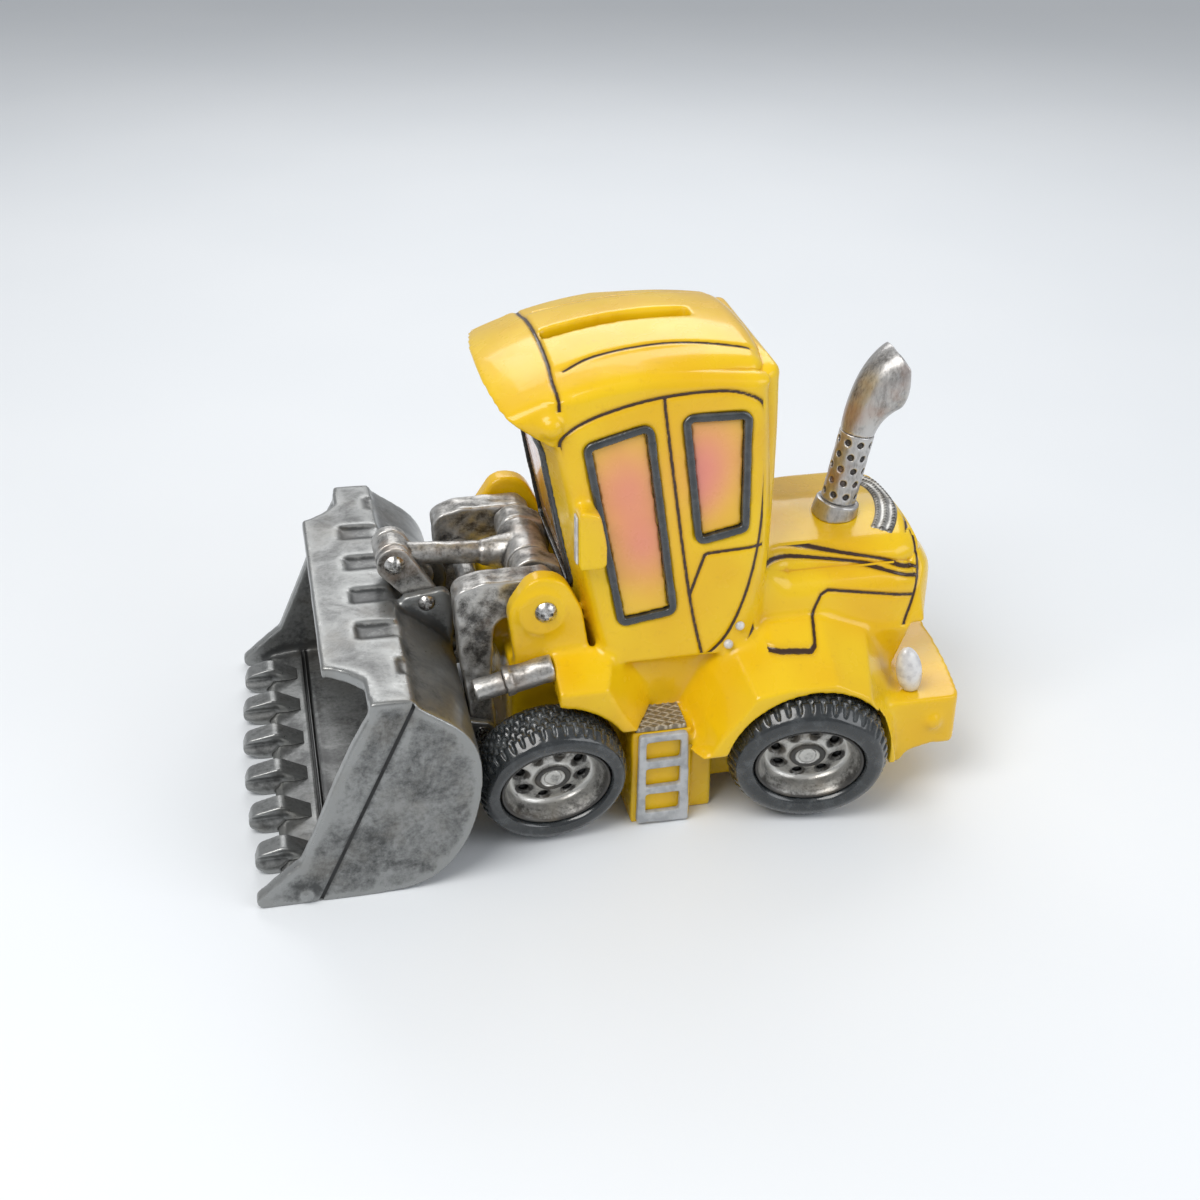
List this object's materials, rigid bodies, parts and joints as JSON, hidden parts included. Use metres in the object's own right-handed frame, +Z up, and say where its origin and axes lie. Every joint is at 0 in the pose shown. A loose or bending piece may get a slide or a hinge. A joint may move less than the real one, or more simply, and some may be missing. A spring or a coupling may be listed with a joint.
{
  "type": "toy front loader coin bank",
  "caption": "Cartoon wheel loader coin bank with a slotted cab roof, hollow body, floor stopper and a bucket on lifting arms with a tilt linkage.",
  "frame": {"origin": "on the floor, under the middle of the overall box in X and Y", "axes": "+X forwards, towards the bucket; +Y to the loader's left; +Z up"},
  "size_m": [0.1636, 0.1022, 0.1063],
  "materials": {
    "yellow_resin": "gloss",
    "bucket_silver": "satin",
    "linkage_silver": "satin",
    "screw_steel": "satin",
    "tyre_black": "gloss",
    "rim_silver": "satin",
    "exhaust_silver": "satin",
    "gasket_black": "gloss",
    "pane_paint": "gloss",
    "ladder_grey": "satin",
    "tread_bronze": "satin",
    "lamp_white": "gloss",
    "mirror_silver": "gloss",
    "stopper_rubber": "matt"
  },
  "bodies": {
    "loader": {"arm_bracket_left": "yellow_resin", "arm_bracket_right": "yellow_resin", "bracket_screws": "screw_steel", "cab_roof": "yellow_resin", "cab_shell": "yellow_resin", "chassis": "yellow_resin", "cross_shaft": "screw_steel", "dome_studs": "yellow_resin", "engine_hood": "yellow_resin", "exhaust_collar": "exhaust_silver", "exhaust_outlet": "exhaust_silver", "exhaust_sleeve": "exhaust_silver", "front_fender_left": "yellow_resin", "front_fender_right": "yellow_resin", "hood_grille": "exhaust_silver", "hub_caps": "rim_silver", "ladder_left": "ladder_grey", "ladder_right": "ladder_grey", "lift_cylinder_barrels": "linkage_silver", "lift_cylinder_rods": "linkage_silver", "mirror_glasses": "mirror_silver", "mirror_housings": "yellow_resin", "rear_bumper": "yellow_resin", "rear_fender_left": "yellow_resin", "rear_fender_right": "yellow_resin", "rear_window_gasket": "gasket_black", "rear_window_pane": "pane_paint", "rim_front_left": "rim_silver", "rim_front_right": "rim_silver", "rim_rear_left": "rim_silver", "rim_rear_right": "rim_silver", "side_rivets": "screw_steel", "side_window_gasket": "gasket_black", "side_window_pane": "pane_paint", "step_treads": "tread_bronze", "tail_lamps": "lamp_white", "tilt_yokes": "linkage_silver", "tyre_front_left": "tyre_black", "tyre_front_right": "tyre_black", "tyre_rear_left": "tyre_black", "tyre_rear_right": "tyre_black", "windscreen_gasket": "gasket_black", "windscreen_pane": "pane_paint"},
    "stopper": {"stopper_plug": "stopper_rubber"},
    "arms": {"loader_arm_left": "linkage_silver", "loader_arm_right": "linkage_silver", "arm_cross_tube": "linkage_silver", "bucket_pivot_pins": "screw_steel"},
    "rod": {"tilt_rod": "linkage_silver"},
    "lever": {"lever_plates": "linkage_silver", "rod_pin_screw": "screw_steel"},
    "bucket": {"bucket_shell": "bucket_silver", "bucket_side_left": "bucket_silver", "bucket_side_right": "bucket_silver", "cutting_edge": "bucket_silver", "bucket_teeth": "bucket_silver", "bucket_ears": "bucket_silver", "lever_pivot_screw": "screw_steel", "bucket_side_bolts": "bucket_silver"}
  },
  "joints": [
    {"name": "arm_lift", "type": "hinge", "parent": "loader", "child": "arms", "pos_m": [0.0145, 0, 0.0518], "axis": [0, -1, 0], "range_deg": [0, 40]},
    {"name": "bucket_tilt", "type": "hinge", "parent": "arms", "child": "bucket", "pos_m": [0.0283, 0, 0.0195], "axis": [0, -1, 0], "range_deg": [-18, 0]},
    {"name": "tilt_rod_swing", "type": "hinge", "parent": "arms", "child": "rod", "pos_m": [0.0145, 0, 0.0518], "axis": [0, -1, 0], "range_deg": [-4, 0]},
    {"name": "lever_swing", "type": "hinge", "parent": "bucket", "child": "lever", "pos_m": [0.0378, 0, 0.0458], "axis": [0, -1, 0], "range_deg": [0, 62]},
    {"name": "stopper_pull", "type": "slide", "parent": "loader", "child": "stopper", "axis": [0, 0, -1], "range_m": [0, 0.012]}
  ],
  "couplings": [
    {"joint": "tilt_rod_swing", "follows": "bucket_tilt", "ratio": 0.16},
    {"joint": "lever_swing", "follows": "bucket_tilt", "ratio": -3.4}
  ]
}
